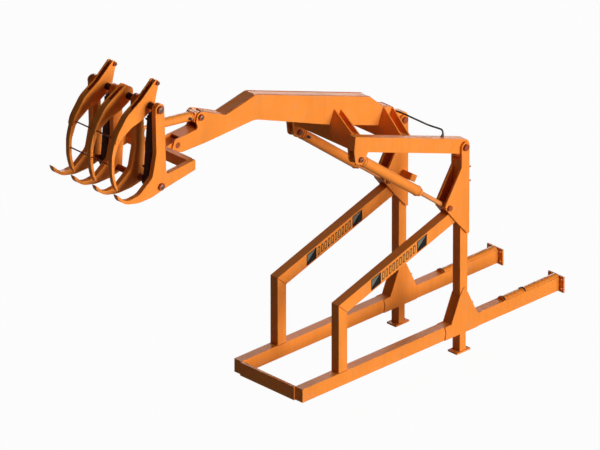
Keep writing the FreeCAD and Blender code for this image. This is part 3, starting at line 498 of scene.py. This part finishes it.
def hex_union(mesh_code, foot, axis, radius):
    """A boss, a hexagon nut and a plug, one on the other."""
    lathe(mesh_code, [(-BOSS_SINK, 0), (-BOSS_SINK, radius * 1.15),
                      (BOSS_RISE, radius * 1.05), (BOSS_RISE, 0)], foot, axis)
    foot = Vector(foot) + Vector(axis) * BOSS_RISE
    lathe(mesh_code, [(0, 0), (0, radius * 0.9), (0.0012, radius), (0.010, radius),
                      (0.0112, radius * 0.9), (0.0112, 0)], foot, axis, turns=6)
    foot = Vector(foot) + Vector(axis) * NUT_RISE
    lathe(mesh_code, [(0, 0), (0, radius * 0.62), (0.009, radius * 0.62),
                      (0.0105, radius * 0.45), (0.0105, 0)], foot, axis)


for label, outside, rod, cap, reach in CYLINDERS:
    kind, _, end = label.partition("_")
    barrel = f"{kind}_barrel_{end}" if end else f"{kind}_barrel"
    foot = Vector(JOINT_AT[f"{label}_swing"]["pos_m"])
    axis = Vector(JOINT_AT[f"{label}_stroke"]["axis"]).normalized()
    inward = Vector((0, -1 if foot.y > 0 else 1, 0))
    # the rings on the clamp barrels take the near black paint, which is painted shade
    tube_paint = dark_paint if kind == "clamp" else weld_paint
    rings = bmesh.new()
    for place in (cap + RING_FROM_CAP, reach - RING_FROM_END):
        lathe(rings, closed_ring(place, outside - RING_SINK, outside + RING_RISE, RING_WIDTH),
              foot, axis)
    finished(f"{barrel}_rings", rings, tube_paint, barrel)
    wiper = bmesh.new()
    lathe(wiper, closed_ring(reach - WIPER_FROM_END, rod + WIPER_GAP, rod + WIPER_EDGE,
                             RING_WIDTH), foot, axis)
    finished(f"{barrel}_wiper", wiper, clamp_rubber, barrel)
    ports = bmesh.new()
    for place in (cap + PORT_FROM_CAP, reach - PORT_FROM_END):
        hex_union(ports, foot + axis * place + inward * (outside - PORT_SINK), inward,
                  PORT_RADIUS)
    finished(f"{barrel}_ports", ports, fitting_steel, barrel)

# pin ends: a turned boss and a grease nipple in the middle of each head

PIN_HEAD, PIN_SINK = 0.015, 0.0005
FORK_INNER_FACE, HORN_MIDDLE, HORN_FACE = 0.262, 0.205, 0.024
HORN_FROM_SHAFT = Vector((-0.069, 0, 0.141))
fork_pin, tilt_pin = (Vector(JOINT_AT[name]["pos_m"]) for name in ("lift_left_swing",
                                                                  "tilt_swing"))
claw_shaft, low_shaft = (Vector(JOINT_AT[name]["pos_m"]) for name in ("claw_clamp",
                                                                     "clamp_left_swing"))
horn_pin = claw_shaft + HORN_FROM_SHAFT
arm_face, claw_face, boom_face = 0.328, 0.326, 0.052
PIN_ENDS = [("fork_pin_ends", "boom", fork_pin, 0.020,
             [(sign * arm_face, sign) for sign in (1, -1)]
             + [(sign * FORK_INNER_FACE, -sign) for sign in (1, -1)]),
            ("tilt_pin_ends", "boom", tilt_pin, 0.022, [(boom_face, 1), (-boom_face, -1)]),
            ("claw_shaft_ends", "grab", claw_shaft, 0.028, [(claw_face, 1), (-claw_face, -1)]),
            ("lower_shaft_ends", "grab", low_shaft, 0.026, [(claw_face, 1), (-claw_face, -1)]),
            ("horn_pin_ends", "upper_claws", horn_pin, 0.014,
             [(sign * HORN_MIDDLE + out * HORN_FACE, out)
              for sign in (1, -1) for out in (1, -1)])]
for name, body, spot, head, ends in PIN_ENDS:
    bosses = bmesh.new()
    for y, out in ends:
        face = Vector((spot.x, y + out * (PIN_HEAD - PIN_SINK), spot.z))
        lathe(bosses, [(0, 0), (0, head * 0.62), (0.0012, head * 0.58), (0.0018, head * 0.3),
                       (0.0024, 0.0042), (0.0065, 0.0038), (0.0072, 0.0026), (0.0095, 0.0030),
                       (0.0108, 0.0016), (0.0108, 0)], face, (0, out, 0))
    finished(name, bosses, fitting_steel, body)

# painted caps over the ends of the claw shaft, in the pin paint that is darkened as painted
# shade

caps = bmesh.new()
for out in (1, -1):
    lathe(caps, [(0.0003, 0), (0.0003, 0.0285), (0.0125, 0.0285), (0.0152, 0.0262),
                 (0.0152, 0)], (claw_shaft.x, out * claw_face, claw_shaft.z), (0, out, 0))
finished("claw_shaft_caps", caps, shaded_pin_paint, "grab")

# bands of the pipes on the rails

RAIL_MIDDLE, RAIL_TOP, BAND_WIDTH, BAND_GROWTH = 0.295, 0.050, 0.013, 0.0016
CLAMP_ROUND, CLAMP_DROP = 0.0393, 0.0188
BAND_PLACES, BAND_START, BAND_SPREAD, BAND_STEPS = (0.335, 0.529), 31, 118, 18
for side, sign in SIDES:
    bands = bmesh.new()
    for x in BAND_PLACES:
        arc = [math.radians(BAND_START + BAND_SPREAD * i / BAND_STEPS)
               for i in range(BAND_STEPS + 1)]
        outline = [(x - BAND_WIDTH / 2, sign * RAIL_MIDDLE + math.cos(a) * r,
                    RAIL_TOP - CLAMP_DROP + math.sin(a) * r)
                   for r, angles in ((CLAMP_ROUND + BAND_GROWTH, arc),
                                     (CLAMP_ROUND - BAND_GROWTH, arc[::-1])) for a in angles]
        prism(bands, outline, (BAND_WIDTH, 0, 0))
    finished(f"pipe_bands_{side}", bands, clamp_rubber, "chassis", edge=0.0008)

# doublers on the arms' outer faces, with a notched front edge

DOUBLER_THICKNESS = 0.0016
DOUBLER = ((0.032, 0.047), (0.142, 0.047), (0.106, 0.0), (0.142, -0.047), (0.032, -0.047))
for side, sign in SIDES:
    doubler = bmesh.new()
    prism(doubler, [on_boom(along, across, sign * arm_face) for along, across in DOUBLER],
          (0, sign * DOUBLER_THICKNESS, 0))
    finished(f"arm_doubler_{side}", doubler, orange_paint, "boom")

# unions on the boom's tail plate, and the steel feed tube over to the left arm

TAIL_FACE, UNION = 0.488, 0.0115
backward = on_boom(-1, 0, 0) - on_boom(0, 0, 0)
upward = on_boom(0, 1, 0) - on_boom(0, 0, 0)
unions = bmesh.new()
for across, y in ((0.152, 0.028), (0.152, -0.028), (0.112, 0.0)):
    hex_union(unions, on_boom(TAIL_FACE, across, y), backward, UNION)
hex_union(unions, on_boom(0.200, 0.052, 0.292), upward, UNION)
finished("boom_unions", unions, fitting_steel, "boom")

FEED_ROUTE = ((0.470, 0.152, 0.028), (0.445, 0.153, 0.034), (0.428, 0.154, 0.080),
              (0.420, 0.151, 0.140), (0.345, 0.130, 0.178), (0.273, 0.109, 0.212),
              (0.220, 0.104, 0.262), (0.202, 0.100, 0.288), (0.200, 0.070, 0.292))
feed = bpy.data.curves.new("boom_feed_tube", "CURVE")
feed.dimensions, feed.bevel_depth, feed.bevel_resolution = "3D", 0.0062, 5
feed.resolution_u, feed.use_fill_caps = 8, True
spline = feed.splines.new("NURBS")
spline.points.add(len(FEED_ROUTE) - 1)
for point, spot in zip(spline.points, FEED_ROUTE):
    point.co = (*on_boom(*spot), 1.0)
spline.order_u, spline.use_endpoint_u = 3, True
feed.materials.append(clamp_rubber)
feed_tube = bpy.data.objects.new("boom_feed_tube", feed)
bpy.context.scene.collection.objects.link(feed_tube)
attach(feed_tube, "boom")

# plain blocks and bars on the left faces of both braces

BRACE_SLOPE, BRACE_FOOT_X, BRACE_FOOT_Z = math.radians(17.7), 2.114, 0.5111
BLOCK_LENGTH, BLOCK_HEIGHT, BAR_COUNT, BAR_PITCH = 0.092, 0.082, 10, 0.0325
BAR_WIDTH, BAR_HEIGHT, CORE_WIDTH, CORE_HEIGHT = 0.021, 0.060, 0.009, 0.044
MARK_LENGTH = 2 * BLOCK_LENGTH + BAR_PITCH * BAR_COUNT + 0.016
FILM, FILM_OVER = 0.0003, 0.0006
CORNER_SIDE, CORNER_END, CORNER_TOP, BAR_GAP = 0.006, 0.010, 0.006, 0.012


def brace_spot(x, rise, y):
    """A place on a brace: its X, the height above the brace's middle line, and Y."""
    return Vector((x, y, BRACE_FOOT_Z + (BRACE_FOOT_X - x) * math.tan(BRACE_SLOPE) + rise))


def film(mesh_code, corners, y, thickness):
    """A thin film on a brace's face, through (x, height) corners."""
    prism(mesh_code, [brace_spot(x, rise, y) for x, rise in corners], (0, thickness, 0))


def upright_sided(x, length, height):
    """Corners of a film with upright sides that follows the brace's slope."""
    return [(x, -height / 2), (x - length, -height / 2), (x - length, height / 2),
            (x, height / 2)]


for side, face, start_x in (("left", 0.330, 1.808), ("right", -0.260, 1.840)):
    black, grey, sand = bmesh.new(), bmesh.new(), bmesh.new()
    for x in (start_x, start_x - MARK_LENGTH + BLOCK_LENGTH):
        film(black, upright_sided(x, BLOCK_LENGTH, BLOCK_HEIGHT), face, FILM)
        far_x, top = x - BLOCK_LENGTH + CORNER_END, BLOCK_HEIGHT / 2 - CORNER_TOP
        film(grey, [(x - CORNER_SIDE, -top / 2), (far_x, top), (x - CORNER_SIDE, top)], face,
             FILM_OVER)
    for i in range(BAR_COUNT):
        x = start_x - BLOCK_LENGTH - BAR_GAP - i * BAR_PITCH
        film(black, upright_sided(x, BAR_WIDTH, BAR_HEIGHT), face, FILM)
        film(sand, upright_sided(x - (BAR_WIDTH - CORE_WIDTH) / 2, CORE_WIDTH, CORE_HEIGHT),
             face, FILM_OVER)
    finished(f"brace_blocks_{side}", black, stripe_black, "chassis")
    finished(f"brace_corners_{side}", grey, stripe_grey, "chassis")
    finished(f"brace_bars_{side}", sand, stripe_sand, "chassis")

# a capped bolt on the rear slope of each base gusset

SLOPE_OUT, BOLT_X, BOLT_Z, BOLT_RADIUS = Vector((-0.897, 0, 0.442)), 0.833, 0.119, 0.009
for side, sign in SIDES:
    bolt = bmesh.new()
    hex_union(bolt, Vector((BOLT_X, sign * RAIL_MIDDLE, BOLT_Z)), SLOPE_OUT, BOLT_RADIUS)
    finished(f"gusset_bolt_{side}", bolt, bolt_steel, "chassis")

# floor, light and camera

FLOOR_SIZE, FLOOR_WHITE, FLOOR_GREY = 60.0, 0.97, 0.42
MIRRORED_WHITE, FILL_COLOUR, FILL_STRENGTH = 0.3, (1, 0.72, 0.60, 1), 0.04


def seen_directly(tree):
    """One for a camera or glass ray, a part of that for a mirror ray, else nothing."""
    path = tree.nodes.new("ShaderNodeLightPath")
    mirrored = calculate(tree, "MULTIPLY", path.outputs["Is Glossy Ray"], MIRRORED_WHITE)
    sharp = calculate(tree, "MAXIMUM", path.outputs["Is Camera Ray"], mirrored)
    return calculate(tree, "MAXIMUM", sharp, path.outputs["Is Transmission Ray"])


floor_mesh = bpy.data.meshes.new("Floor")
half = FLOOR_SIZE / 2
floor_mesh.from_pydata([(-half, -half, 0), (half, -half, 0), (half, half, 0), (-half, half, 0)],
                       [], [(0, 1, 2, 3)])
floor = bpy.data.objects.new("Floor", floor_mesh)
floor.location = ((cad_low.x + cad_high.x) / 2, 0, cad_low.z)
bpy.context.scene.collection.objects.link(floor)
floor_paint = bpy.data.materials.new("white studio floor")
floor_paint.use_nodes = True
tree = floor_paint.node_tree
shader = tree.nodes["Principled BSDF"]
shader.inputs["Base Color"].default_value = (FLOOR_GREY, FLOOR_GREY, FLOOR_GREY, 1)
shader.inputs["Roughness"].default_value = 0.9
glow = add_node(tree, "ShaderNodeEmission", [("Color", (1, 1, 1, 1)), ("Strength", 1.0)])
share = calculate(tree, "MULTIPLY", seen_directly(tree), FLOOR_WHITE)
mixed = add_node(tree, "ShaderNodeMixShader", [(0, share), (1, shader.outputs[0]),
                                               (2, glow.outputs[0])])
tree.links.new(mixed.outputs[0], tree.nodes["Material Output"].inputs["Surface"])
floor_mesh.materials.append(floor_paint)

world = bpy.data.worlds.new("Studio")
bpy.context.scene.world = world
world.use_nodes = True
tree = world.node_tree
tree.nodes.clear()
soft = add_node(tree, "ShaderNodeBackground", [("Color", FILL_COLOUR),
                                               ("Strength", FILL_STRENGTH)])
white = add_node(tree, "ShaderNodeBackground", [("Color", (1, 1, 1, 1)), ("Strength", 1.0)])
mixed = add_node(tree, "ShaderNodeMixShader", [(0, seen_directly(tree)), (1, soft.outputs[0]),
                                               (2, white.outputs[0])])
add_node(tree, "ShaderNodeOutputWorld", [("Surface", mixed.outputs[0])])


def sun(name, toward, strength, softness):
    """A distant lamp whose light arrives from the direction toward."""
    lamp = bpy.data.lights.new(name, "SUN")
    lamp.energy, lamp.angle = strength, math.radians(softness)
    obj = bpy.data.objects.new(name, lamp)
    obj.rotation_mode = "QUATERNION"
    obj.rotation_quaternion = Vector(toward).to_track_quat("Z", "Y")
    bpy.context.scene.collection.objects.link(obj)


sun("Key", (-0.04, 0.98, 0.16), 1.25, 18)
sun("Even side light", (-0.38, 0.92, 0.18), 2.75, 44)
sun("Far side light", (-0.62, -0.78, 0.10), 1.7, 30)

VIEW_AZIMUTH, VIEW_ELEVATION = math.radians(135.706), math.radians(26.285)
VIEW_WIDTH, VIEW_CENTRE = 4.0396, Vector((2.157, 0.0, 1.068))
LENS, SENSOR = 1250.0, 36.0
camera = bpy.data.cameras.new("Camera")
camera.lens, camera.sensor_width = LENS, SENSOR
eye = bpy.data.objects.new("Camera", camera)
bpy.context.scene.collection.objects.link(eye)
back = Vector((math.sin(VIEW_AZIMUTH) * math.cos(VIEW_ELEVATION),
               -math.cos(VIEW_AZIMUTH) * math.cos(VIEW_ELEVATION), math.sin(VIEW_ELEVATION)))
distance = VIEW_WIDTH * LENS / SENSOR
eye.location = VIEW_CENTRE + back * distance
eye.rotation_mode = "QUATERNION"
eye.rotation_quaternion = (-back).to_track_quat("-Z", "Y")
camera.clip_start, camera.clip_end = 1.0, 3 * distance
bpy.context.scene.camera = eye
bpy.context.scene.view_settings.view_transform = "Standard"
